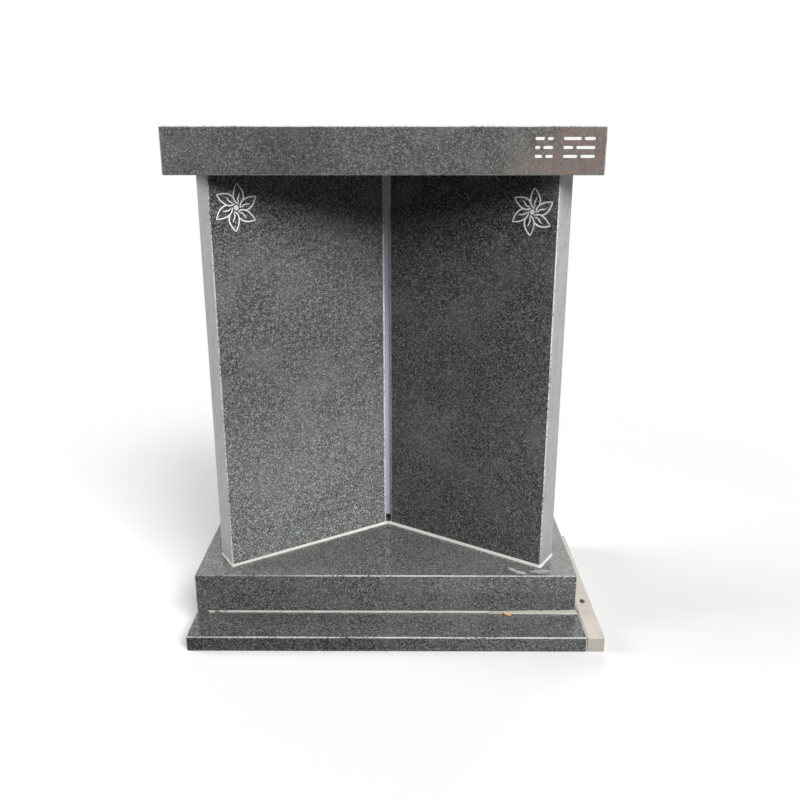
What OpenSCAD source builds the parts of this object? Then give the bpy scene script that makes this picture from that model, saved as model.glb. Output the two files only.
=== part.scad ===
// Upright headstone: two granite slabs splayed like an open book between a plinth and a lintel.
// The front faces -Y, +X is to the right seen from the front, and Z = 0 is the underside.
// X = 0 is the centre line of the plinth, slabs and lintel, and Y = 0 the middle of the base slab's depth.

/* [Overall] */
// Width of the lintel and the plinth
memorial_w = 1000; // [800:5:1300]
// Depth of the lintel and the plinth, front to back
memorial_d = 440; // [360:5:600]
// Ground edge left pale along every polished stone's corners
arris = 2.5; // [1:0.5:4]

/* [Lintel] */
// Height of the lintel
lintel_h = 107; // [70:1:160]

/* [Slabs] */
// Height of the two upright slabs
slab_h = 1008; // [700:1:1300]
// Thickness of a slab
slab_t = 80; // [60:1:100]
// How far a slab's outer front corner stands in from the end of the plinth
slab_side_inset = 91.5; // [70:0.5:140]
// How far a slab's outer front corner stands behind the plinth's front
slab_front_inset = 43; // [20:1:80]
// Ledge left on the plinth behind the slabs' mitred back corners
slab_back_inset = 46; // [20:1:80]

/* [Seam] */
// Open joint between the mitred ends of the two slabs
seam_gap = 14; // [8:1:24]
// Width of the ground corner beside the seam, along the face
seam_arris = 4.8; // [2:0.2:8]
// Depth of the metal strip, front to back
strip_d = 40; // [10:1:60]
// How far the strip lies behind the slabs' ground corners
strip_recess = 4; // [1:1:12]
// Open height left under the strip
strip_lift = 20; // [5:1:60]

/* [Mortar beds] */
// Thickness of the bed under each slab
slab_bed_h = 7; // [4:1:14]
// Thickness of the bed under the plinth
plinth_bed_h = 6.5; // [4:0.5:14]

/* [Plinth and base] */
// Height of the plinth
plinth_h = 105.5; // [70:0.5:160]
// Thickness of the base slab and the edging
base_h = 40; // [30:1:100]
// Length of the base slab in front of the plinth
base_run = 108; // [40:1:300]
// How far the base slab stands out past the plinth's left end
base_left_out = 3.5; // [0:0.5:30]
// How far the base slab stands out past the plinth's right end
base_right_out = 10; // [0:0.5:30]
// Width of the pale edging along the base slab's right side
edging_w = 44.5; // [30:0.5:90]
// Radius of the chipped pit in the edging
pit_r = 6; // [4:1:10]
// Depth of the pit
pit_d = 3.5; // [1:0.5:5]
// Distance of the pit's centre behind the front of the plinth
pit_back = 62; // [30:1:150]
// Distance of the pit's centre from the base slab
pit_side = 19; // [12:1:60]

/* [Carving] */
// Depth of the carved strokes
carve_d = 1.2; // [0.5:0.1:3]
// Radius of a flower over its petal tips
flower_r = 56.5; // [40:0.5:60]
// Distance of a flower's centre from its slab's outer front corner
flower_inset = 67; // [62:1:90]
// Height left between the lintel and the centre of the left flower
left_flower_drop = 78; // [64:1:200]
// Height left between the lintel and the centre of the right flower
right_flower_drop = 88; // [64:1:200]
// Turn of the flowers, clockwise seen from the front
flower_turn = 3.6; // [0:0.2:30]
// Width of a petal's outline stroke
petal_stroke = 3.2; // [2:0.1:4]
// Width of the vein stroke inside a petal
vein_stroke = 3; // [2:0.1:4]
// Radius of the dot in the middle of a flower
eye_r = 6; // [4:0.5:7]

/* [Mark] */
// Width of the left group of plain strokes on the lintel
mark_left_w = 40; // [20:1:60]
// Width of the right group of strokes
mark_right_w = 71; // [20:1:90]
// Gap between the two groups
mark_gap = 23; // [10:1:40]
// Height of the mark, over its rows
mark_h = 45; // [30:1:60]
// Thickness of one stroke of the mark
mark_stroke = 6.5; // [4:0.5:10]
// Space between two strokes of one row
mark_split = 7; // [4:1:12]
// Distance of the mark from the lintel's right end
mark_end_inset = 26; // [10:1:80]
// Distance of the mark above the lintel's lower edge
mark_rise = 38; // [8:1:60]

/* [Hidden] */
$fn = 48;

petals = 6;                       // petals of a flower
curve_steps = 9;                  // straight pieces along one carved curve
outline_taper = [0.6, 1, 1];      // share of a petal stroke's width at its tip, middle and foot
vein_taper = [0.4, 1, 0.7];       // the same of a vein's
row_splits = [0.62, 0.34, 0.5];   // where each row of the mark is broken, top row first
mark_w = mark_left_w + mark_gap + mark_right_w;
proud = 1;                        // how far a cutter stands out of the face that it cuts

// Plan, front to back
base_d = memorial_d + base_run;
base_front = -base_d / 2;
plinth_front = base_front + base_run;
plinth_back = base_d / 2;
base_left = -memorial_w / 2 - base_left_out;
base_right = memorial_w / 2 + base_right_out;

// Heights of the courses
plinth_bed_z = base_h;
plinth_z = plinth_bed_z + plinth_bed_h;
slab_bed_z = plinth_z + plinth_h;
slab_z = slab_bed_z + slab_bed_h;
lintel_z = slab_z + slab_h;

// Distance along X from a point of the left slab to its mitred end
function reach_x(point) = -seam_gap / 2 - point[0];

// Splay of the slabs: each front face starts at its outer corner, and each back face ends at
// the seam, slab_back_inset in front of the plinth's back
outer = [-(memorial_w / 2 - slab_side_inset), plinth_front + slab_front_inset];
reach = [-seam_gap / 2, plinth_back - slab_back_inset] - outer;
splay = acos(slab_t / norm(reach)) - atan2(reach[0], reach[1]);
along = [cos(splay), sin(splay)];
inward = [-sin(splay), cos(splay)];
face_l = reach_x(outer) / along[0];
back_corner = outer + slab_t * inward;
back_l = reach_x(back_corner) / along[0];
seam_front = outer + face_l * along;
seam_back = back_corner + back_l * along;
seam_shoulder = seam_front - seam_arris * along;
strip_front = seam_front[1] + seam_arris + strip_recess;

// One petal, tip up, of a flower whose tips lie at radius 1
petal_tip = [0, 1];
petal_left = [petal_tip, [-0.18, 0.655], [-0.21, 0.265], [0.09, 0.155]];
petal_right = [petal_tip, [0.16, 0.85], [0.39, 0.6], [0.29, 0.33]];
petal_vein = [[0.14, 0.62], [0.115, 0.445], [0, 0.39], [0.103, 0.23]];

function bezier(p, t) =
    pow(1 - t, 3) * p[0] + 3 * t * pow(1 - t, 2) * p[1] + 3 * t * t * (1 - t) * p[2] + pow(t, 3) * p[3];
function bezier_slope(p, t) =
    3 * pow(1 - t, 2) * (p[1] - p[0]) + 6 * t * (1 - t) * (p[2] - p[1]) + 3 * t * t * (p[3] - p[2]);
function left_of(v) = [-v[1], v[0]] / norm(v);

// Closed outline of a stroke drawn along a curve, its width running from start_w by mid_w to end_w
function stroke_w(t, start_w, mid_w, end_w) =
    t < 0.5 ? start_w + (mid_w - start_w) * sin(180 * t) : end_w + (mid_w - end_w) * sin(180 * t);
function stroke_side(curve, widths, side) =
    [for (i = [0:curve_steps]) let (t = i / curve_steps)
        bezier(curve, t)
        + side / 2 * stroke_w(t, widths[0], widths[1], widths[2]) * left_of(bezier_slope(curve, t))];
function reversed(list) = [for (i = [len(list) - 1:-1:0]) list[i]];
function stroke(curve, widths) =
    concat(stroke_side(curve, widths, 1), reversed(stroke_side(curve, widths, -1)));

// Side view of a block with its top corners ground off by top, and its lower ones by foot
function ground_profile(w, h, top, foot) =
    concat(foot > 0 ? [[foot, 0], [w - foot, 0], [w, foot]] : [[0, 0], [w, 0]],
           [[w, h - top], [w - top, h], [top, h], [0, h - top]],
           foot > 0 ? [[0, foot]] : []);

// Block with its low corner at the origin, every corner ground by arris, the lower ones by foot
module ground_block(w, d, h, foot) {
    intersection() {
        translate([0, d, 0]) rotate([90, 0, 0]) linear_extrude(d)
            polygon(ground_profile(w, h, arris, foot));
        rotate([90, 0, 90]) linear_extrude(w) polygon(ground_profile(d, h, arris, foot));
        linear_extrude(h) polygon(ground_profile(w, d, arris, arris));
    }
}

module left_slab_body() {
    mitre = [0, 1];
    translate([0, 0, slab_z]) linear_extrude(slab_h)
        polygon([
            outer + arris * inward, outer + arris * along,
            seam_shoulder, seam_front + seam_arris * mitre,
            seam_back - arris * mitre, seam_back - arris * along,
            back_corner + arris * along, back_corner - arris * inward]);
}

// Mortar bed under the left slab, flush with its face and meeting the other bed at X = 0
module left_bed_body() {
    translate([0, 0, slab_bed_z]) linear_extrude(slab_bed_h)
        polygon([outer, seam_shoulder, [0, seam_shoulder[1]], [0, seam_back[1]], seam_back, back_corner]);
}

// The carved strokes of one flower, cut into the face z = 0, which looks along +z
module flower_cutter() {
    outline_w = petal_stroke / flower_r * outline_taper;
    vein_w = vein_stroke / flower_r * vein_taper;
    translate([0, 0, -carve_d]) {
        cylinder(h = carve_d + proud, r = eye_r);
        for (i = [0:petals - 1])
            rotate([0, 0, -flower_turn - 360 / petals * i])
                linear_extrude(carve_d + proud) {
                    polygon(flower_r * stroke(petal_left, outline_w));
                    polygon(flower_r * stroke(petal_right, outline_w));
                    polygon(flower_r * stroke(petal_vein, vein_w));
                }
    }
}

// A straight stroke with round ends, from x = 0 to x = length
module bar_cutter(length) {
    r = mark_stroke / 2;
    translate([0, 0, -carve_d]) {
        translate([r, -r, 0]) cube([length - 2 * r, mark_stroke, carve_d + proud]);
        for (x = [r, length - r]) translate([x, 0, 0]) cylinder(h = carve_d + proud, r = r);
    }
}

// Rows of plain strokes, each row of a group broken once
module mark_cutter() {
    rows = len(row_splits);
    pitch = (mark_h - mark_stroke) / (rows - 1);
    groups = [[0, mark_left_w], [mark_left_w + mark_gap, mark_right_w]];
    for (row = [0:rows - 1], group = groups) {
        first_l = (group[1] - mark_split) * row_splits[row];
        second_l = group[1] - mark_split - first_l;
        translate([group[0], mark_h - mark_stroke / 2 - row * pitch, 0]) {
            bar_cutter(first_l);
            translate([first_l + mark_split, 0, 0]) bar_cutter(second_l);
        }
    }
}

// Stands a flat figure up on a face that looks along -Y, turned by angle about Z
module on_face(at, angle) {
    translate(at) rotate([0, 0, angle]) rotate([90, 0, 0]) children();
}

module left_slab() {
    centre = outer + flower_inset * along;
    color("dimgray") difference() {
        left_slab_body();
        on_face([centre[0], centre[1], lintel_z - left_flower_drop], splay) flower_cutter();
    }
}

module right_slab() {
    centre = outer + flower_inset * along;
    color("dimgray") difference() {
        mirror([1, 0, 0]) left_slab_body();
        on_face([-centre[0], centre[1], lintel_z - right_flower_drop], -splay) flower_cutter();
    }
}

module left_bed() {
    color("ivory") left_bed_body();
}

module right_bed() {
    color("ivory") mirror([1, 0, 0]) left_bed_body();
}

module seam_strip() {
    color("lightsteelblue") translate([-seam_gap / 2, strip_front, slab_z + strip_lift])
        cube([seam_gap, strip_d, slab_h - strip_lift]);
}

module lintel() {
    color("dimgray") difference() {
        translate([-memorial_w / 2, plinth_front, lintel_z])
            ground_block(memorial_w, memorial_d, lintel_h, arris);
        on_face([memorial_w / 2 - mark_end_inset - mark_w, plinth_front, lintel_z + mark_rise], 0)
            mark_cutter();
    }
}

module plinth() {
    color("dimgray") translate([-memorial_w / 2, plinth_front, plinth_z])
        ground_block(memorial_w, memorial_d, plinth_h, arris);
}

module plinth_bed() {
    color("ivory") translate([-memorial_w / 2 + arris, plinth_front + arris, plinth_bed_z])
        cube([memorial_w - 2 * arris, memorial_d - 2 * arris, plinth_bed_h]);
}

module base_slab() {
    color("gray") translate([base_left, base_front, 0])
        ground_block(base_right - base_left, base_d, base_h, 0);
}

module edging() {
    color("antiquewhite") difference() {
        translate([base_right, base_front, 0]) ground_block(edging_w, base_d, base_h, 0);
        translate([base_right + pit_side, plinth_front + pit_back, base_h - pit_d])
            cylinder(h = pit_d + proud, r1 = pit_r / 2, r2 = pit_r);
    }
}

base_slab();
edging();
plinth_bed();
plinth();
left_bed();
right_bed();
left_slab();
right_slab();
seam_strip();
lintel();
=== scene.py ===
import math

import bmesh
import bpy
from mathutils import Matrix, Vector, noise


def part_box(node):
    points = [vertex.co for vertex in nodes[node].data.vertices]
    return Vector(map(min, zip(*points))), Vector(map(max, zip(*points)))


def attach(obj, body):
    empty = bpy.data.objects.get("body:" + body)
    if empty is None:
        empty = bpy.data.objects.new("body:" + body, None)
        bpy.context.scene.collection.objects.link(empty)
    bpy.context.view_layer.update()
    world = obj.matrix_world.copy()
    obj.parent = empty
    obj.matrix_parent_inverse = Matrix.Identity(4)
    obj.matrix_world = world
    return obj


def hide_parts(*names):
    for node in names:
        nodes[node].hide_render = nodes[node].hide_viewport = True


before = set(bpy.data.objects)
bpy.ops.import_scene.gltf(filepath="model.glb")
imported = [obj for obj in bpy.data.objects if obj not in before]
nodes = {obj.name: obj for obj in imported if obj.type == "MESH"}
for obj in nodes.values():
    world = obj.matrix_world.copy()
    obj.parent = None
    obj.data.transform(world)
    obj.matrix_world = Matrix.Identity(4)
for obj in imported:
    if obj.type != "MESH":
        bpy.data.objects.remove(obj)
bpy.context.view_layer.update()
up = Vector((0, 0, 1))
front = Vector((0, -1, 0))
print("frame loaded:", len(nodes), "stones, beds and strips")

camera = {
    "place": (0.0528, -2.0391, 1.2454),
    "tiltDown": 0.28609,
    "roll": 0.0041,
    "lens": 36.3,
    "shift": (-0.0039, -0.0295),
}


def makeCamera():
    data = bpy.data.cameras.new("camera")
    data.lens = camera["lens"]
    data.shift_x = camera["shift"][0]
    data.shift_y = camera["shift"][1]
    data.clip_end = 100
    made = bpy.data.objects.new("camera", data)
    made.location = camera["place"]
    made.rotation_euler = (math.pi / 2 - camera["tiltDown"], 0, camera["roll"])
    bpy.context.scene.collection.objects.link(made)
    bpy.context.scene.camera = made


makeCamera()
bpy.context.scene.view_settings.view_transform = "Standard"


# A socket of a shader graph, so that its maths reads as maths
class Wire:
    def __init__(self, graph, socket):
        self.graph = graph
        self.socket = socket

    def __add__(self, other):
        return self.graph.maths("ADD", self, other)

    def __radd__(self, other):
        return self.graph.maths("ADD", other, self)

    def __sub__(self, other):
        return self.graph.maths("SUBTRACT", self, other)

    def __rsub__(self, other):
        return self.graph.maths("SUBTRACT", other, self)

    def __mul__(self, other):
        return self.graph.maths("MULTIPLY", self, other)

    def __rmul__(self, other):
        return self.graph.maths("MULTIPLY", other, self)

    def __gt__(self, other):
        return self.graph.maths("GREATER_THAN", self, other)


class Graph:
    def __init__(self, owner):
        owner.use_nodes = True
        self.tree = owner.node_tree
        self.tree.nodes.clear()

    # Adds one node: its settings first, then the values or links of its sockets, by name or as in0, in1
    def node(self, kind, settings=None, output=0, **values):
        made = self.tree.nodes.new(kind)
        for key, value in (settings or {}).items():
            if key == "stops":
                self.setStops(made.color_ramp, value)
            else:
                setattr(made, key, value)
        for key, value in values.items():
            numbered = key.startswith("in") and key[2:].isdigit()
            socket = made.inputs[int(key[2:]) if numbered else key.replace("_", " ")]
            if isinstance(value, Wire):
                self.tree.links.new(value.socket, socket)
            elif value is not None:
                socket.default_value = value
        return Wire(self, made.outputs[output])

    def setStops(self, ramp, stops):
        while len(ramp.elements) < len(stops):
            ramp.elements.new(1)
        for element, (place, colour) in zip(ramp.elements, stops):
            element.position = place
            element.color = (*colour, 1)

    def maths(self, operation, first, second=None):
        return self.node("ShaderNodeMath", {"operation": operation}, in0=first, in1=second)

    def clamp(self, value):
        return self.node("ShaderNodeClamp", Value=value)

    def magnitude(self, value):
        return self.maths("ABSOLUTE", value)

    def place(self):
        return self.node("ShaderNodeTexCoord", output="Object")

    def facing(self):
        return self.node("ShaderNodeNewGeometry", output="Normal")

    def along(self, vector, direction):
        return self.node("ShaderNodeVectorMath", {"operation": "DOT_PRODUCT"}, output="Value",
                         in0=vector, in1=direction)

    def length(self, vector):
        return self.node("ShaderNodeVectorMath", {"operation": "LENGTH"}, output="Value", in0=vector)

    def scaled(self, vector, factors):
        return self.node("ShaderNodeVectorMath", {"operation": "MULTIPLY"}, in0=vector, in1=factors)

    def shifted(self, vector, offset):
        return self.node("ShaderNodeVectorMath", {"operation": "ADD"}, in0=vector, in1=offset)

    def cloud(self, vector, scale, detail=2.0, roughness=0.5, distortion=0.0):
        return self.node("ShaderNodeTexNoise", Vector=vector, Scale=scale, Detail=detail,
                         Roughness=roughness, Distortion=distortion)

    # Runs from 0 at low to 1 at high
    def rise(self, value, low, high):
        return self.node("ShaderNodeMapRange", {"interpolation_type": "SMOOTHSTEP"},
                         Value=value, in1=low, in2=high)

    # The sockets numbered here are the Mix node's colour ones
    def mix(self, factor, first, second, blend="MIX"):
        return self.node("ShaderNodeMix", {"data_type": "RGBA", "blend_type": blend}, output=2,
                         in0=factor, in6=asColour(first), in7=asColour(second))

    def ramp(self, value, stops):
        return self.node("ShaderNodeValToRGB", {"stops": stops}, Fac=value)

    def bump(self, height, distance, strength=1.0):
        return self.node("ShaderNodeBump", Height=height, Distance=distance, Strength=strength)

    def surface(self, shader):
        output = self.tree.nodes.new("ShaderNodeOutputMaterial")
        self.tree.links.new(shader.socket, output.inputs["Surface"])


def asColour(value):
    return (*value, 1) if isinstance(value, tuple) and len(value) == 3 else value


def newMaterial(name):
    material = bpy.data.materials.new(name)
    return material, Graph(material)


studio = {
    "floorRadius": 14.0,
    "floorColour": (0.86, 0.86, 0.86),
    "floorBounce": (0.12, 0.12, 0.12),
    "fadeFrom": 0.9,
    "fadeTo": 2.2,
    "white": 1.0,
    "ambient": 0.02,
    "aim": (0, 0, 0.6),
    "screenLift": 0.004,
}
lamps = {
    "key": {"azimuth": 33, "elevation": 38, "distance": 8.0, "size": 4.4, "level": 1.25},
    "sideFill": {"azimuth": -95, "elevation": 24, "distance": 5.0, "size": 2.4, "level": 0.86},
    "backFill": {"azimuth": 165, "elevation": 20, "distance": 6.0, "size": 3.0, "level": 0.5},
}
# Each turns from one grey to another as it rises between two heights; one fades out round a spot
screens = {
    "frontScreen": {"from": -42, "to": 42, "reach": 4.5, "foot": 3.0, "height": 3.0,
                    "greys": (0.65, 0.65), "turn": (1.0, 2.0)},
    "rightScreen": {"from": 42, "to": 110, "reach": 9.0, "foot": 8.8, "height": 3.0,
                    "greys": (0.06, 0.06), "turn": (1.0, 2.0)},
    "leftScreen": {"from": -110, "to": -42, "reach": 1.5, "foot": 0.75, "height": 1.6,
                   "greys": (0.32, 0.0), "turn": (0.4, 0.95)},
    "nearScreen": {"from": -120, "to": 20, "reach": 1.4, "foot": 0.2, "height": 0.01,
                   "greys": (0.30, 0.30), "turn": (1.0, 2.0),
                   "spot": (0.30, 0.50, 0), "clear": (0.25, 0.85)},
}


# True for what the eye sees straight on, in a mirror and through glass
def seenMask(graph):
    path = graph.node("ShaderNodeLightPath")
    outputs = path.socket.node.outputs
    rays = ("Is Camera Ray", "Is Glossy Ray", "Is Transmission Ray")
    seen = [Wire(graph, outputs[ray]) for ray in rays]
    return graph.clamp(seen[0] + seen[1] + seen[2])


def makeWorld():
    world = bpy.data.worlds.new("studio")
    bpy.context.scene.world = world
    graph = Graph(world)
    grey = studio["ambient"]
    colour = graph.mix(seenMask(graph), (grey, grey, grey), (studio["white"],) * 3)
    light = graph.node("ShaderNodeBackground", Color=colour, Strength=1.0)
    output = graph.tree.nodes.new("ShaderNodeOutputWorld")
    graph.tree.links.new(light.socket, output.inputs["Surface"])


def makeFloor():
    mesh = bmesh.new()
    bmesh.ops.create_circle(mesh, cap_ends=True, segments=96, radius=studio["floorRadius"])
    floor = finished("floor", mesh)
    material, graph = newMaterial("floor")
    place = graph.place()
    faded = graph.rise(graph.length(place), studio["fadeFrom"], studio["fadeTo"])
    seen = seenMask(graph)
    tone = graph.mix(seen, studio["floorBounce"], studio["floorColour"])
    lit = graph.node("ShaderNodeBsdfDiffuse", Color=tone)
    white = graph.node("ShaderNodeEmission", Color=(1, 1, 1, 1), Strength=studio["white"])
    graph.surface(graph.node("ShaderNodeMixShader", in0=faded * seen, in1=lit, in2=white))
    floor.data.materials.append(material)


# A curved screen that sweeps up from the floor, which only the polish mirrors
def makeScreen(name, card):
    mesh = bmesh.new()
    foot = mesh.verts.new((0, -card["foot"], studio["screenLift"]))
    bend = mesh.verts.new((0, -card["reach"], studio["screenLift"]))
    head = mesh.verts.new((0, -card["reach"], card["height"]))
    outline = [foot, bend, head, mesh.edges.new((foot, bend)), mesh.edges.new((bend, head))]
    start = math.radians(card["from"])
    turn = math.radians(card["to"]) - start
    bmesh.ops.rotate(mesh, verts=mesh.verts, cent=(0, 0, 0), matrix=Matrix.Rotation(start, 3, "Z"))
    bmesh.ops.spin(mesh, geom=outline, cent=(0, 0, 0), axis=up, angle=turn, steps=32)
    screen = finished(name, mesh)
    material, graph = newMaterial(name)
    risen = graph.rise(graph.along(graph.place(), (0, 0, 1)), *card["turn"])
    tone = graph.mix(risen, (card["greys"][0],) * 3, (card["greys"][1],) * 3)
    dark = graph.node("ShaderNodeEmission", Color=tone)
    if "spot" in card:
        off = graph.length(graph.shifted(graph.place(), card["spot"]))
        clear = graph.node("ShaderNodeBsdfTransparent")
        dark = graph.node("ShaderNodeMixShader", in0=graph.rise(off, *card["clear"]), in1=dark, in2=clear)
    graph.surface(dark)
    screen.data.materials.append(material)
    screen.visible_camera = False
    screen.visible_diffuse = False
    screen.visible_shadow = False


def makeLamp(name, lamp):
    data = bpy.data.lights.new(name, "AREA")
    data.size = lamp["size"]
    data.energy = lamp["level"] * math.pi**2 * lamp["distance"] ** 2
    azimuth = math.radians(lamp["azimuth"])
    elevation = math.radians(lamp["elevation"])
    away = Vector((math.sin(azimuth) * math.cos(elevation), -math.cos(azimuth) * math.cos(elevation),
                   math.sin(elevation)))
    made = bpy.data.objects.new(name, data)
    made.location = Vector(studio["aim"]) + away * lamp["distance"]
    made.rotation_euler = away.to_track_quat("Z", "Y").to_euler()
    made.visible_camera = False
    made.visible_glossy = False
    bpy.context.scene.collection.objects.link(made)


# Turns a bmesh into an object whose place is in its mesh
def finished(name, mesh):
    data = bpy.data.meshes.new(name)
    mesh.to_mesh(data)
    mesh.free()
    made = bpy.data.objects.new(name, data)
    bpy.context.scene.collection.objects.link(made)
    return made


makeWorld()
makeFloor()
for name, card in screens.items():
    makeScreen(name, card)
for name, lamp in lamps.items():
    makeLamp(name, lamp)
print("stage and lamps made")


granite = {
    "grainScale": 300,
    "grainShare": 0.45,
    "smallScale": 480,
    "smallShare": 0.38,
    "fineScale": 700,
    "fineShare": 0.2,
    "wanderScale": 160,
    "wander": 0.004,
    "tones": [(0.15, (0.010, 0.010, 0.011)), (0.35, (0.032, 0.034, 0.034)), (0.50, (0.070, 0.074, 0.073)),
              (0.65, (0.126, 0.132, 0.130)), (0.80, (0.218, 0.229, 0.225)), (0.95, (0.41, 0.43, 0.42))],
    "fleckShare": 0.08,
    "fleck": (0.44, 0.45, 0.44),
    "fleckPale": 0.6,
    "fleckBlack": 0.8,
    "warm": (1.03, 1.0, 0.96),
    "cool": (0.96, 1.0, 1.03),
    "tintScale": 26,
    "tintBand": (0.35, 0.65),
    "polishedRoughness": 0.12,
    # A pale sheen over the polish, in broad cloudy patches: partly the stone's own cloudiness, partly
    # painted reflection
    "hazeSheen": (0.20, 0.205, 0.19),
    "hazeSheenShare": 0.30,
    "hazeSheenScale": 7,
    "hazeSheenBand": (0.46, 0.68),
    # Pale tone of dust on upward faces, also used for painted sheen on the plinth's top and painted light
    # at a stone's foot
    "dust": (0.40, 0.40, 0.385),
    "topDust": 0.05,
    # Painted light at a stone's foot: this share of the pale dust tone laid over it, fading out between
    # the two heights below
    "footLitShare": 0.10,
    "dustFrom": 0.15,
    "dustTo": 0.75,
    # Patchiness of the dust, of the painted sheen and of the painted light at the foot
    "dustScale": 11,
    "dustLeast": 0.6,
    "dustPatchy": 0.8,
    "honed": (0.675, 0.695, 0.705),
    "stained": (0.545, 0.565, 0.572),
    "honedShare": 0.58,
    "honedRoughness": 0.42,
    "sawRuns": (70, 70, 9),
    "blotScale": 48,
    "sawBand": (0.44, 0.64),
    "arris": (0.66, 0.67, 0.66),
    "chipped": (0.88, 0.89, 0.89),
    "arrisShare": 0.9,
    "wearScale": 150,
    "wearPatchScale": 7,
    "wearPatchy": 0.5,
    "wearBand": (0.3, 0.56),
    # How much paler painted light makes a stone's foot
    "bleached": (1.85, 1.85, 1.82),
    # How much darker painted shade makes a stone
    "darker": (0.72, 0.72, 0.73),
    "arrisRoughness": 0.6,
    "reliefScale": 420,
    "relief": 0.0006,
    "reliefStrength": 0.5,
    # How nearly a face looks along a direction to count as facing it
    "facingLimit": 0.985,
}
rust = {
    "colour": (0.285, 0.180, 0.140),
    "pale": (0.235, 0.195, 0.180),
    "share": 0.56,
    "reach": 0.26,
    "fade": 0.10,
    "slant": 0.9,
    "patchScale": 14,
    "ragged": 0.14,
    "uneven": 0.5,
    "filmScale": 46,
    "filmBand": (0.4, 0.62),
    # Painted shade: a darker stretch of the same face, left of the middle
    "stretchShadeAt": -0.21,
    "stretchShadeHalf": 0.17,
    "stretchShadeRagged": 0.12,
    "stretchShade": (0.72, 0.72, 0.73),
}
# Where painted sheen, wear and painted shade change along the plinth and the base, and by how much: from
# one X to another, or for the sheened ends and the less sheened left end, from one distance to another out
# from the middle
lengthwise = {
    "endsSheened": (0.03, 0.26),
    "endsSheen": 0.08,
    "rightSheened": (0.40, 0.46),
    "rightSheen": 0.31,
    "leftLessSheened": (0.30, 0.42),
    "leftSheenLess": 0.06,
    "worn": (-0.30, -0.10),
    "wornLeast": 0.35,
    "baseShaded": (-0.35, 0.30),
    "plinthShaded": (-0.35, -0.05),
    "plinthShade": 0.4,
}


# Crystals of two sizes, from black through grey feldspar to a few pale grains
def grains(graph, place):
    wander = graph.cloud(place, granite["wanderScale"], 2)
    bent = graph.shifted(place, graph.scaled(wander, (granite["wander"],) * 3))
    coarse = graph.node("ShaderNodeTexVoronoi", output="Color", Vector=bent, Scale=granite["grainScale"])
    small = graph.node("ShaderNodeTexVoronoi", output="Color", Vector=bent, Scale=granite["smallScale"])
    fine = graph.cloud(place, granite["fineScale"], 2, 0.6)
    value = graph.along(coarse, (granite["grainShare"], 0, 0))
    value = value + graph.along(small, (granite["smallShare"], 0, 0)) + fine * granite["fineShare"]
    body = graph.ramp(value, granite["tones"])
    tinted = graph.rise(graph.cloud(place, granite["tintScale"], 3, 0.6), *granite["tintBand"])
    body = graph.mix(1.0, body, graph.mix(tinted, granite["warm"], granite["cool"]), "MULTIPLY")
    pale = graph.along(small, (0, 1, 0)) > 1 - granite["fleckShare"]
    black = graph.along(small, (0, 0, 1)) > 1 - granite["fleckShare"]
    body = graph.mix(pale * granite["fleckPale"], body, granite["fleck"])
    return graph.mix(black * granite["fleckBlack"], body, granite["tones"][0][1])


# A mask that is 1 on faces that look along one of the directions
def facesAlong(graph, normal, directions):
    total = None
    for direction in directions:
        here = graph.along(normal, direction) > granite["facingLimit"]
        total = here if total is None else total + here
    return total


def graniteMaterial(name, polished, honed, **look):
    material, graph = newMaterial(name)
    place = graph.place()
    normal = graph.facing()
    grain = grains(graph, place)
    polish = facesAlong(graph, normal, polished)
    rub = facesAlong(graph, normal, honed)
    hazeSheen = graph.rise(graph.cloud(place, granite["hazeSheenScale"], 3, 0.55, 0.4), *granite["hazeSheenBand"])
    # Painted light: paler towards the foot, as much as each stone's look asks
    foot = 1 - graph.rise(graph.along(place, (0, 0, 1)), granite["dustFrom"], granite["dustTo"])
    foot = foot * look.get("bleach", 0.0)
    paler = graph.mix(foot, grain, granite["bleached"], "MULTIPLY")
    # Painted shade: darker by the share that the look's shade gives
    if "shade" in look:
        paler = graph.mix(look["shade"](graph, place), paler, granite["darker"], "MULTIPLY")
    # Painted reflection: the pale sheen over the polish, in patches and by an even share that the look
    # gives
    dusty = graph.mix(hazeSheen * granite["hazeSheenShare"] + look.get("veil", 0.0), paler, granite["hazeSheen"])
    # Real dust on upward faces, plus painted sheen on the plinth's top and painted light at the foot, in
    # patches
    lyingDustAndSheen = look["dust"](graph, place) + granite["topDust"] if "dust" in look else granite["topDust"]
    dustAndLightShare = graph.clamp(graph.along(normal, (0, 0, 1))) * lyingDustAndSheen + foot * granite["footLitShare"]
    patchy = graph.cloud(place, granite["dustScale"], 3, 0.6)
    dustAndLightShare = dustAndLightShare * (granite["dustLeast"] + patchy * granite["dustPatchy"])
    dusty = graph.mix(dustAndLightShare, dusty, granite["dust"])
    if "tint" in look:
        dusty = look["tint"](graph, place, dusty)
    runs = graph.cloud(graph.scaled(place, granite["sawRuns"]), 1, 4, 0.6)
    blots = graph.cloud(place, granite["blotScale"], 4, 0.65)
    streaky = graph.rise(runs * 0.5 + blots * 0.5, *granite["sawBand"])
    sawn = graph.mix(streaky, granite["honed"], granite["stained"])
    sawn = graph.mix(granite["honedShare"], grain, sawn)
    worn = graph.cloud(place, granite["wearScale"], 4, 0.75)
    worn = worn + (graph.cloud(place, granite["wearPatchScale"], 2) - 0.5) * granite["wearPatchy"]
    rubbed = graph.rise(worn, *granite["wearBand"])
    if "worn" in look:
        rubbed = rubbed * look["worn"](graph, place)
    chalky = graph.mix(rubbed * granite["arrisShare"], grain, granite[look.get("edge", "arris")])
    colour = graph.mix(rub, graph.mix(polish, chalky, dusty), sawn)
    rough = granite["arrisRoughness"]
    roughness = rough - polish * (rough - granite["polishedRoughness"])
    roughness = roughness - rub * (rough - granite["honedRoughness"])
    pitted = graph.cloud(place, granite["reliefScale"], 3) * (1 - polish)
    relief = graph.bump(pitted, granite["relief"], granite["reliefStrength"])
    shader = graph.node("ShaderNodeBsdfPrincipled", Base_Color=colour, Roughness=roughness, Normal=relief)
    graph.surface(shader)
    return material
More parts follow.
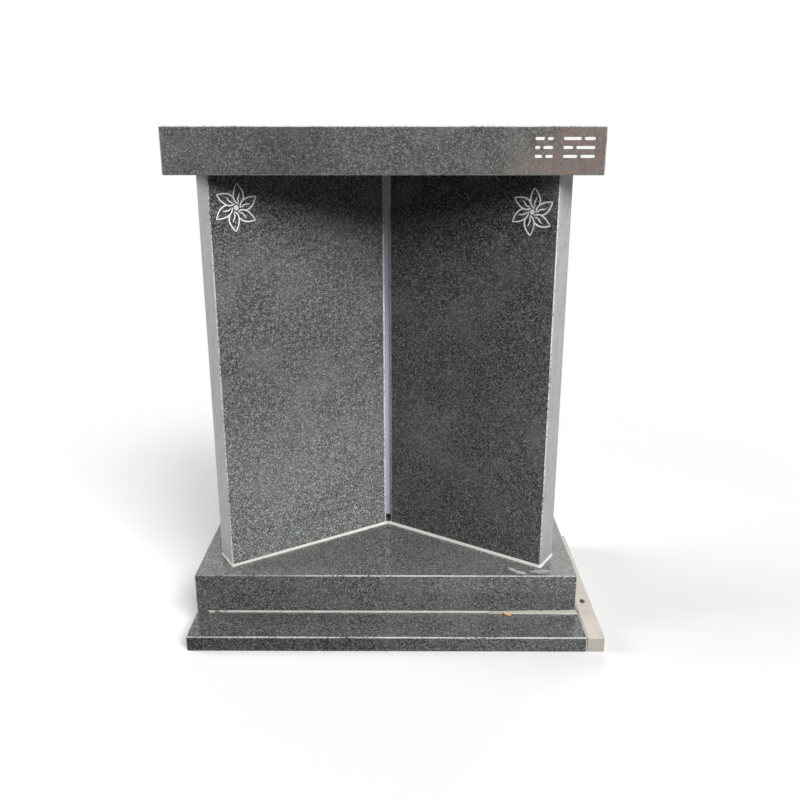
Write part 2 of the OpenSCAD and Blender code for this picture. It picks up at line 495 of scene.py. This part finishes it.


# Brown film over the right end, its edge slanting out to the top, and painted shade on a stretch left of
# the middle
def rustAndShadeTint(graph, place, colour):
    low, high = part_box("lintel")
    across = graph.along(place, (1, 0, -rust["slant"])) + rust["slant"] * low.z
    patchy = graph.cloud(place, rust["patchScale"], 4, 0.65) - 0.5
    edge = high.x - rust["reach"]
    amount = graph.rise(across + patchy * rust["ragged"], edge, edge + rust["fade"])
    off = graph.magnitude(graph.along(place, (1, 0, 0)) - rust["stretchShadeAt"]) + patchy * rust["stretchShadeRagged"]
    stretchShade = 1 - graph.rise(off, 0, rust["stretchShadeHalf"])
    colour = graph.mix(stretchShade, colour, rust["stretchShade"], "MULTIPLY")
    thin = graph.rise(graph.cloud(place, rust["filmScale"], 4, 0.7), *rust["filmBand"])
    film = graph.mix(thin, rust["colour"], rust["pale"])
    return graph.mix(amount * (rust["share"] + patchy * rust["uneven"]), colour, film)


# Painted sheen on the plinth's top, stronger towards its ends, most of all at the right one
def plinthTopSheen(graph, place):
    across = graph.along(place, (1, 0, 0))
    lies = graph.rise(graph.magnitude(across), *lengthwise["endsSheened"]) * lengthwise["endsSheen"]
    lies = lies + graph.rise(across, *lengthwise["rightSheened"]) * lengthwise["rightSheen"]
    return lies - graph.rise(across * -1, *lengthwise["leftLessSheened"]) * lengthwise["leftSheenLess"]


# The plinth's front top arris is rubbed away towards its left end
def plinthWear(graph, place):
    least = lengthwise["wornLeast"]
    return least + graph.rise(graph.along(place, (1, 0, 0)), *lengthwise["worn"]) * (1 - least)


# Painted shade: the base and the plinth are a little darker towards their left ends
def baseShade(graph, place):
    return 1 - graph.rise(graph.along(place, (1, 0, 0)), *lengthwise["baseShaded"])


def plinthShade(graph, place):
    lit = graph.rise(graph.along(place, (1, 0, 0)), *lengthwise["plinthShaded"])
    return (1 - lit) * lengthwise["plinthShade"]


# The direction in which a splayed slab's carved face looks: away from its broad, uncarved back
def carvedFacing(nodeName):
    mesh = nodes[nodeName].data
    broad = max((p for p in mesh.polygons if p.normal.y > 0.5), key=lambda p: p.area)
    return -broad.normal.normalized()


def dress(nodeName, material):
    nodes[nodeName].data.materials.clear()
    nodes[nodeName].data.materials.append(material)


leftFacing = carvedFacing("left_slab")
rightFacing = carvedFacing("right_slab")
leftEnd = up.cross(leftFacing) * -1
rightEnd = up.cross(rightFacing)
back = -front
side = Vector((1, 0, 0))
# Each stone's look sets its painted light at the foot, its painted shade and its painted sheen
dress("left_slab", graniteMaterial("leftSlabGranite", [leftFacing], [leftEnd, -leftFacing, side],
                                   bleach=1.0, edge="chipped"))
dress("right_slab", graniteMaterial("rightSlabGranite", [rightFacing], [rightEnd, -rightFacing, -side],
                                    bleach=0.25, edge="chipped", shade=lambda graph, place: 0.18))
dress("lintel", graniteMaterial("lintelGranite", [front, up], [back, side, -side, -up], tint=rustAndShadeTint,
                                shade=lambda graph, place: 0.28, veil=0.16))
dress("plinth", graniteMaterial("plinthGranite", [front, up], [back, side, -side, -up],
                                dust=plinthTopSheen, worn=plinthWear, bleach=0.22, shade=plinthShade,
                                veil=0.05))
dress("base_slab", graniteMaterial("baseGranite", [front, up], [back, side, -side, -up], shade=baseShade))
print("granite dressed")

edging = {
    "colour": (0.54, 0.485, 0.42),
    "pale": (0.62, 0.57, 0.51),
    "speck": (0.44, 0.38, 0.31),
    "blotchScale": 34,
    "blotchBand": (0.3, 0.7),
    "speckScale": 300,
    "speckBand": (0.56, 0.75),
    "speckShare": 0.3,
    "pit": (0.055, 0.035, 0.02),
    "pitSide": 0.021,
    "pitBack": 0.060,
    "pitWide": 0.0080,
    "pitLong": 0.0135,
    "pitScale": 150,
    "pitRagged": 1.6,
    "pitBand": (0.75, 1.05),
    "pitShare": 0.92,
    "roughness": 0.55,
    "relief": 0.0004,
    "reliefStrength": 0.35,
}


def edgingMaterial():
    material, graph = newMaterial("edgingStone")
    place = graph.place()
    blotch = graph.cloud(place, edging["blotchScale"], 4, 0.65)
    fine = graph.cloud(place, edging["speckScale"], 3, 0.6)
    stone = graph.mix(graph.rise(blotch, *edging["blotchBand"]), edging["colour"], edging["pale"])
    speckled = graph.rise(fine, *edging["speckBand"]) * edging["speckShare"]
    stone = graph.mix(speckled, stone, edging["speck"])
    centre = Vector((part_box("base_slab")[1].x + edging["pitSide"],
                     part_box("plinth")[0].y + edging["pitBack"],
                     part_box("edging")[1].z))
    off = graph.scaled(graph.shifted(place, -centre), (1 / edging["pitWide"], 1 / edging["pitLong"], 0))
    ragged = (graph.cloud(place, edging["pitScale"], 3, 0.6) - 0.5) * edging["pitRagged"]
    pit = 1 - graph.rise(graph.length(off) + ragged, *edging["pitBand"])
    colour = graph.mix(pit * edging["pitShare"], stone, edging["pit"])
    relief = graph.bump(fine, edging["relief"], edging["reliefStrength"])
    graph.surface(graph.node("ShaderNodeBsdfPrincipled", Base_Color=colour, Roughness=edging["roughness"],
                             Normal=relief))
    return material


dress("edging", edgingMaterial())
print("edging dressed")

strip = {
    "colour": (0.50, 0.505, 0.615),
    "shade": (0.43, 0.435, 0.525),
    # Painted shade: the strip darker towards its top, under the lintel, between the two heights that
    # follow
    "topShade": (0.56, 0.56, 0.56),
    "topShadeFrom": 0.58,
    "topShadeTo": 0.85,
    "drawnScale": (900, 900, 4),
    "drawnShare": 0.6,
    "cloudScale": 12,
    "cloudShare": 0.4,
    "shadeBand": (0.35, 0.65),
    "metallic": 0.1,
    "roughness": 0.5,
    "roughnessVaries": 0.15,
}


def stripMaterial():
    material, graph = newMaterial("seamMetal")
    place = graph.place()
    drawn = graph.cloud(graph.scaled(place, strip["drawnScale"]), 1, 2)
    cloudy = graph.cloud(place, strip["cloudScale"], 2)
    streaks = graph.rise(drawn * strip["drawnShare"] + cloudy * strip["cloudShare"], *strip["shadeBand"])
    colour = graph.mix(streaks, strip["shade"], strip["colour"])
    # Painted shade: darker towards its top, under the lintel
    shadedTop = graph.rise(graph.along(place, (0, 0, 1)), strip["topShadeFrom"], strip["topShadeTo"])
    colour = graph.mix(shadedTop, colour, strip["topShade"], "MULTIPLY")
    roughness = strip["roughness"] + (drawn - 0.5) * strip["roughnessVaries"]
    graph.surface(graph.node("ShaderNodeBsdfPrincipled", Base_Color=colour, Metallic=strip["metallic"],
                             Roughness=roughness))
    return material


dress("seam_strip", stripMaterial())
print("seam strip dressed")

mortar = {
    "cell": 0.004,
    "rows": 4,
    "swell": 0.0006,
    "leftFlare": (0.0034, 0.0006),
    "rightFlare": (0.0048, 0.0032),
    "lump": 0.0008,
    "lumpScale": 45,
    "grit": 0.0004,
    "gritScale": 260,
    "seamStart": 0.010,
    # Each slab's bed is left as in the CAD at the seam and gets its full relief this far from it
    "seamHold": 0.012,
    "clean": (0.79, 0.778, 0.742),
    "sandy": (0.72, 0.69, 0.62),
    "sandScale": 700,
    "sandBand": (0.42, 0.7),
    "sandShare": 0.45,
    # Colour of dirt, also used for painted shade at the seam's foot
    "dirt": (0.06, 0.056, 0.05),
    "dirtAndShadeScale": 38,
    "dirtAndShadeBand": (0.62, 0.82),
    "dirtAndShadeShare": 0.92,
    "filmShare": 0.6,
    "roughness": 0.85,
    "relief": 0.0005,
    "reliefStrength": 0.6,
}
# The plinth's bed: lengths of its lost left end and smeared right end, and how each changes its swell
plinthEnds = {
    "lostLong": 0.03,
    "lost": 3,
    "smearedLong": 0.07,
    "smeared": 1.2,
    # Dirt fades out over these distances from its left end and from its front
    "dirtAlong": (0.01, 0.09),
    "dirtBack": (0.004, 0.03),
    "dirt": 0.22,
    "dirtAll": 0.03,
}
seamShade = {
    "fade": 0.004,
    "side": (0.008, 0.012),
}


# Dirt, and in the slabs' beds painted shade at the seam's foot, that gathers where the share is high, over
# lime mortar with sand in it
def mortarMaterial(name, dirtAndShadeShare, film=None):
    material, graph = newMaterial(name)
    place = graph.place()
    sand = graph.cloud(place, mortar["sandScale"], 3, 0.65)
    patch = graph.cloud(place, mortar["dirtAndShadeScale"], 4, 0.65)
    sandy = graph.rise(sand, *mortar["sandBand"]) * mortar["sandShare"]
    colour = graph.mix(sandy, mortar["clean"], mortar["sandy"])
    dirtAndShade = graph.rise(patch + dirtAndShadeShare(graph, place), *mortar["dirtAndShadeBand"])
    colour = graph.mix(dirtAndShade * mortar["dirtAndShadeShare"], colour, mortar["dirt"])
    if film:
        colour = graph.mix(mortar["filmShare"], colour, film)
    relief = graph.bump(sand, mortar["relief"], mortar["reliefStrength"])
    graph.surface(graph.node("ShaderNodeBsdfPrincipled", Base_Color=colour, Roughness=mortar["roughness"],
                             Normal=relief))
    return material


# How far a point of a bed's side moves out: round in the middle, flared at the foot, lumpy all over
def lumpyOffset(vert, share, swell, flare):
    lump = noise.noise(vert.co * mortar["lumpScale"]) * mortar["lump"]
    grit = noise.noise(vert.co * mortar["gritScale"]) * mortar["grit"]
    return swell * math.sin(math.pi * share) + flare * (1 - share) + lump + grit


# A bed squeezed out between two stones: a CAD bed's outline, with its sides cut finely and made lumpy
def lumpyBed(name, nodeName, swellAt, flareAt, hold):
    mesh = bmesh.new()
    mesh.from_mesh(nodes[nodeName].data)
    bmesh.ops.remove_doubles(mesh, verts=mesh.verts, dist=1e-5)
    bmesh.ops.dissolve_limit(mesh, angle_limit=math.radians(1), verts=mesh.verts, edges=mesh.edges)
    flat = [face for face in mesh.faces if abs(face.normal.z) > 0.5]
    bmesh.ops.delete(mesh, geom=flat, context="FACES_ONLY")
    for face in list(mesh.faces):
        level = [edge for edge in face.edges if abs(edge.verts[0].co.z - edge.verts[1].co.z) < 1e-6]
        cuts = round(level[0].calc_length() / mortar["cell"])
        bmesh.ops.subdivide_edges(mesh, edges=level, cuts=max(cuts, 1), use_grid_fill=True)
    upright = [edge for edge in mesh.edges if abs(edge.verts[0].co.z - edge.verts[1].co.z) > 1e-6]
    bmesh.ops.subdivide_edges(mesh, edges=upright, cuts=mortar["rows"], use_grid_fill=True)
    mesh.normal_update()
    low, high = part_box(nodeName)
    moves = []
    for vert in mesh.verts:
        share = (vert.co.z - low.z) / (high.z - low.z)
        offset = lumpyOffset(vert, share, swellAt(vert.co), flareAt(vert.co))
        moves.append(vert.normal * offset * hold(vert.co))
    for vert, move in zip(mesh.verts, moves):
        vert.co += move
    rims = [edge for edge in mesh.edges if edge.is_boundary]
    caps = bmesh.ops.holes_fill(mesh, edges=rims, sides=0)["faces"]
    bmesh.ops.recalc_face_normals(mesh, faces=mesh.faces)
    bmesh.ops.triangulate(mesh, faces=caps)
    for face in mesh.faces:
        face.smooth = abs(face.normal.z) < 0.9
    bed = finished(name, mesh)
    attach(bed, "root")
    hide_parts(nodeName)
    return bed


# The plinth's bed is lost at its left end and smeared out at its right end
def plinthSwell(co):
    left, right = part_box("plinth_bed")[0].x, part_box("plinth_bed")[1].x
    lost = max(0, 1 - (co.x - left) / plinthEnds["lostLong"])
    smeared = max(0, 1 - (right - co.x) / plinthEnds["smearedLong"])
    return mortar["swell"] * (1 - plinthEnds["lost"] * lost + plinthEnds["smeared"] * smeared)


# Dirt towards the left end, but only near the front
def plinthBedDirt(graph, place):
    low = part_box("plinth_bed")[0]
    near, far = plinthEnds["dirtAlong"]
    leftEnd = 1 - graph.rise(graph.along(place, (1, 0, 0)), low.x + near, low.x + far)
    near, far = plinthEnds["dirtBack"]
    inFront = 1 - graph.rise(graph.along(place, (0, 1, 0)), low.y + near, low.y + far)
    return leftEnd * inFront * plinthEnds["dirt"] + plinthEnds["dirtAll"]


# Painted shade: dark inside the open foot of the seam, behind the beds' own front line
def slabBedSeamShade(graph, place):
    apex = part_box("seam_strip")[0].y - mortar["seamStart"]
    behind = graph.rise(graph.along(place, (0, 1, 0)), apex, apex + seamShade["fade"])
    away = graph.magnitude(graph.along(place, (1, 0, 0)))
    return behind * (1 - graph.rise(away, *seamShade["side"]))


# A slab's bed flares by one width at the seam and by another at its outer end
def slabFlare(sideName):
    atSeam, atEnd = mortar[sideName + "Flare"]
    reach = abs(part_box(sideName + "_bed")[0 if sideName == "left" else 1].x)
    return lambda co: atSeam + (atEnd - atSeam) * abs(co.x) / reach


plinthBed = lumpyBed("plinth_bed_mortar", "plinth_bed", plinthSwell, lambda co: 0, lambda co: 1)
plinthBed.data.materials.append(mortarMaterial("plinthBedMortar", plinthBedDirt))
for sideName in ("left", "right"):
    bed = lumpyBed(sideName + "_bed_mortar", sideName + "_bed", lambda co: mortar["swell"],
                   slabFlare(sideName), lambda co: min(1, abs(co.x) / mortar["seamHold"]))
    bed.data.materials.append(mortarMaterial(sideName + "BedMortar", slabBedSeamShade))
print("mortar beds laid")

smears = {
    "thick": 0.0006,
    "rimWide": 0.0015,
    "rimHigh": 0.0002,
    "ragged": 0.45,
    "raggedScale": 2.2,
    "dirt": 0.06,
    # Place in from the plinth's right end and back from its front, half length, half width and turn
    "lumps": [
        {"inset": 0.167, "back": 0.034, "long": 0.013, "wide": 0.0058, "turn": -52},
        {"inset": 0.147, "back": 0.018, "long": 0.017, "wide": 0.0064, "turn": -22},
    ],
    "wipes": [
        {"inset": 0.093, "back": 0.023, "long": 0.026, "wide": 0.0095, "turn": 4},
    ],
    "lumpFilm": (0.36, 0.36, 0.35),
    "wipeFilm": (0.14, 0.145, 0.14),
}
drawnMortar = {
    "inset": 0.225,
    "deep": 0.0032,
    "high": 0.0050,
    # Thickness of its brim, and how far its back reaches behind the plinth's face, low down and above
    "brim": 0.0009,
    "backFoot": 0.0026,
    "backTop": 0.0003,
    # Its end slopes out past the plinth's corner by the toe, over this run
    "toe": 0.0065,
    "toeRun": 0.02,
    # Its hollow front: a point this share of its depth out and this share of the bed's height up
    "hollow": (0.45, 0.55),
    # Share of its height left at the thin end, and share of its depth that never shrinks
    "thinHigh": 0.12,
    "fixedDeep": 0.25,
    "lumpy": 0.5,
    "lumpAlong": 60,
    "lumpUp": 120,
    "pieces": 60,
    "film": (0.46, 0.46, 0.38),
    "dirt": 0.03,
}


# Thin irregular patches left on the plinth's top
def makeSmears(name, patches, film):
    corner = Vector((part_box("plinth")[1].x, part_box("plinth")[0].y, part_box("plinth")[1].z))
    mesh = bmesh.new()
    for patch in patches:
        ring = bmesh.ops.create_circle(mesh, cap_ends=True, segments=40, radius=1)["verts"]
        for vert in ring:
            # Its inset picks each patch's own part of the noise
            spot = vert.co * smears["raggedScale"] + Vector((patch["inset"] * 90, 0, 0))
            vert.co *= 1 + smears["ragged"] * noise.noise(spot)
        bmesh.ops.scale(mesh, verts=ring, vec=(patch["long"], patch["wide"], 1))
        bmesh.ops.rotate(mesh, verts=ring, cent=(0, 0, 0),
                         matrix=Matrix.Rotation(math.radians(patch["turn"]), 3, "Z"))
        bmesh.ops.translate(mesh, verts=ring, vec=corner + Vector((-patch["inset"], patch["back"], 0)))
    grown = bmesh.ops.extrude_face_region(mesh, geom=mesh.faces[:], use_keep_orig=True)["geom"]
    tops = [item for item in grown if isinstance(item, bmesh.types.BMVert)]
    bmesh.ops.translate(mesh, verts=tops, vec=up * smears["thick"])
    topFaces = [item for item in grown if isinstance(item, bmesh.types.BMFace)]
    bmesh.ops.inset_individual(mesh, faces=topFaces, thickness=smears["rimWide"], depth=smears["rimHigh"])
    bmesh.ops.recalc_face_normals(mesh, faces=mesh.faces)
    smear = finished(name, mesh)
    smear.data.materials.append(mortarMaterial(name, lambda graph, place: smears["dirt"], film))
    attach(smear, "root")


# A wedge of mortar along the plinth's foot that grows towards the right end
def makeDrawnMortar():
    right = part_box("plinth")[1].x
    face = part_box("plinth")[0].y
    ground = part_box("base_slab")[1].z
    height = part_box("plinth")[0].z - ground
    inset, deep, high = drawnMortar["inset"], drawnMortar["deep"], drawnMortar["high"]
    hollowOut, hollowUp = drawnMortar["hollow"]
    thinHigh, fixedDeep = drawnMortar["thinHigh"], drawnMortar["fixedDeep"]
    outline = [(drawnMortar["backFoot"], 0), (-deep, 0), (-deep * hollowOut, height * hollowUp),
               (-drawnMortar["brim"], height + high), (drawnMortar["backTop"], height + high),
               (drawnMortar["backFoot"], height)]
    mesh = bmesh.new()
    ring = [mesh.verts.new((right - inset, face + y, ground + z)) for y, z in outline]
    section = mesh.faces.new(ring)
    for _ in range(drawnMortar["pieces"]):
        grown = bmesh.ops.extrude_face_region(mesh, geom=[section, *section.edges])["geom"]
        section = next(item for item in grown if isinstance(item, bmesh.types.BMFace))
        bmesh.ops.translate(mesh, verts=section.verts[:], vec=(inset / drawnMortar["pieces"], 0, 0))
    bmesh.ops.recalc_face_normals(mesh, faces=mesh.faces)
    for vert in mesh.verts:
        along = (vert.co.x - right + inset) / inset
        spot = Vector((vert.co.x * drawnMortar["lumpAlong"], vert.co.z * drawnMortar["lumpUp"], 0))
        share = (thinHigh + (1 - thinHigh) * along) * (1 + drawnMortar["lumpy"] * noise.noise(spot))
        rise = vert.co.z - ground
        if rise > height:
            vert.co.z = ground + height + (rise - height) * share
        if vert.co.y < face:
            vert.co.y = face + (vert.co.y - face) * (fixedDeep + (1 - fixedDeep) * share)
        nearCorner = max(0, 1 - (right - vert.co.x) / drawnMortar["toeRun"])
        nearGround = max(0, 1 - rise / (height + high))
        vert.co.x += drawnMortar["toe"] * (nearCorner * nearGround)
    drawn = finished("drawn_mortar", mesh)
    material = mortarMaterial("drawnMortar", lambda graph, place: drawnMortar["dirt"], drawnMortar["film"])
    drawn.data.materials.append(material)
    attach(drawn, "root")


makeSmears("mortar_lumps", smears["lumps"], smears["lumpFilm"])
makeSmears("mortar_wipe", smears["wipes"], smears["wipeFilm"])
makeDrawnMortar()
print("smears made")

paint = {
    "carved": 0.0012,
    "thick": 0.0011,
    "proud": 0.00125,
    "spread": 0.00035,
    "colour": (0.95, 0.95, 0.94),
    "worn": (0.76, 0.76, 0.75),
    "wearScale": 180,
    "wearBand": (0.55, 0.8),
    "wearShare": 0.6,
    "roughness": 0.5,
    "reliefScale": 500,
    "relief": 0.0003,
    "reliefStrength": 0.4,
}


def paintMaterial():
    material, graph = newMaterial("whitePaint")
    place = graph.place()
    wear = graph.rise(graph.cloud(place, paint["wearScale"], 4, 0.7), *paint["wearBand"])
    colour = graph.mix(wear * paint["wearShare"], paint["colour"], paint["worn"])
    brushed = graph.cloud(place, paint["reliefScale"], 2)
    relief = graph.bump(brushed, paint["relief"], paint["reliefStrength"])
    graph.surface(graph.node("ShaderNodeBsdfPrincipled", Base_Color=colour, Roughness=paint["roughness"],
                             Normal=relief))
    return material


# Paint that fills a stone's carved strokes from their floors up, its top edge spread a little outwards
def fillCarving(name, nodeName, facing, material, thick, spread=0.0):
    mesh = bmesh.new()
    mesh.from_mesh(nodes[nodeName].data)
    bmesh.ops.remove_doubles(mesh, verts=mesh.verts, dist=1e-6)
    mesh.normal_update()
    face = max(vert.co.dot(facing) for vert in mesh.verts)
    depth = paint["carved"]
    floors = [f for f in mesh.faces if f.normal.dot(facing) > 0.999
              and abs(face - f.calc_center_median().dot(facing) - depth) < depth / 4]
    others = [f for f in mesh.faces if f not in set(floors)]
    bmesh.ops.delete(mesh, geom=others, context="FACES")
    grown = bmesh.ops.extrude_face_region(mesh, geom=mesh.faces[:], use_keep_orig=True)["geom"]
    tops = [item for item in grown if isinstance(item, bmesh.types.BMVert)]
    bmesh.ops.translate(mesh, verts=tops, vec=facing * thick)
    bmesh.ops.recalc_face_normals(mesh, faces=mesh.faces)
    mesh.normal_update()
    for vert in tops:
        sideways = vert.normal - facing * vert.normal.dot(facing)
        if sideways.length > 0.1:
            vert.co += sideways.normalized() * spread
    fill = finished(name, mesh)
    fill.data.materials.append(material)
    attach(fill, "root")


white = paintMaterial()
fillCarving("left_flower_paint", "left_slab", leftFacing, white, paint["thick"])
fillCarving("right_flower_paint", "right_slab", rightFacing, white, paint["proud"], paint["spread"])
fillCarving("mark_paint", "lintel", front, white, paint["thick"])
print("carving painted")

leaf = {
    "inset": 0.180,
    "gap": 0.009,
    "long": 0.021,
    "wide": 0.0075,
    "turn": -20,
    "lift": 24,
    "curl": 0.0022,
    # How much it waves along its length, as a share of the curl, and how tightly
    "wave": 0.6,
    "waveTurn": 5,
    "blunt": 0.25,
    "thick": 0.0004,
    "colour": (0.62, 0.30, 0.11),
    "vein": (0.78, 0.52, 0.28),
    "veinScale": 420,
    "veinBand": (0.4, 0.65),
    "roughness": 0.7,
}


# A dry scrap of leaf, lying against the plinth's bed
def makeLeaf():
    mesh = bmesh.new()
    bmesh.ops.create_grid(mesh, x_segments=12, y_segments=6, size=0.5)
    for vert in mesh.verts:
        taper = math.sqrt(max(0, 1 - (2 * vert.co.x) ** 2))
        vert.co.y *= leaf["blunt"] + (1 - leaf["blunt"]) * taper
        wave = leaf["wave"] * math.sin(leaf["waveTurn"] * vert.co.x)
        vert.co.z = leaf["curl"] * (4 * vert.co.y**2 + wave)
    bmesh.ops.scale(mesh, verts=mesh.verts, vec=(leaf["long"], leaf["wide"], 1))
    bmesh.ops.solidify(mesh, geom=mesh.faces[:], thickness=leaf["thick"])
    for angle, axis in ((leaf["lift"], "Y"), (leaf["lift"], "X"), (leaf["turn"], "Z")):
        bmesh.ops.rotate(mesh, verts=mesh.verts, cent=(0, 0, 0),
                         matrix=Matrix.Rotation(math.radians(angle), 3, axis))
    lowest = min(vert.co.z for vert in mesh.verts)
    spot = Vector((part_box("plinth")[1].x - leaf["inset"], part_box("plinth")[0].y - leaf["gap"],
                   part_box("base_slab")[1].z - lowest))
    bmesh.ops.translate(mesh, verts=mesh.verts, vec=spot)
    bmesh.ops.recalc_face_normals(mesh, faces=mesh.faces)
    for face in mesh.faces:
        face.smooth = True
    scrap = finished("leaf_scrap", mesh)
    material, graph = newMaterial("dryLeaf")
    place = graph.place()
    veined = graph.rise(graph.cloud(place, leaf["veinScale"], 3, 0.6), *leaf["veinBand"])
    colour = graph.mix(veined, leaf["colour"], leaf["vein"])
    graph.surface(graph.node("ShaderNodeBsdfPrincipled", Base_Color=colour, Roughness=leaf["roughness"]))
    scrap.data.materials.append(material)
    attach(scrap, "root")


makeLeaf()
print("leaf scrap laid")
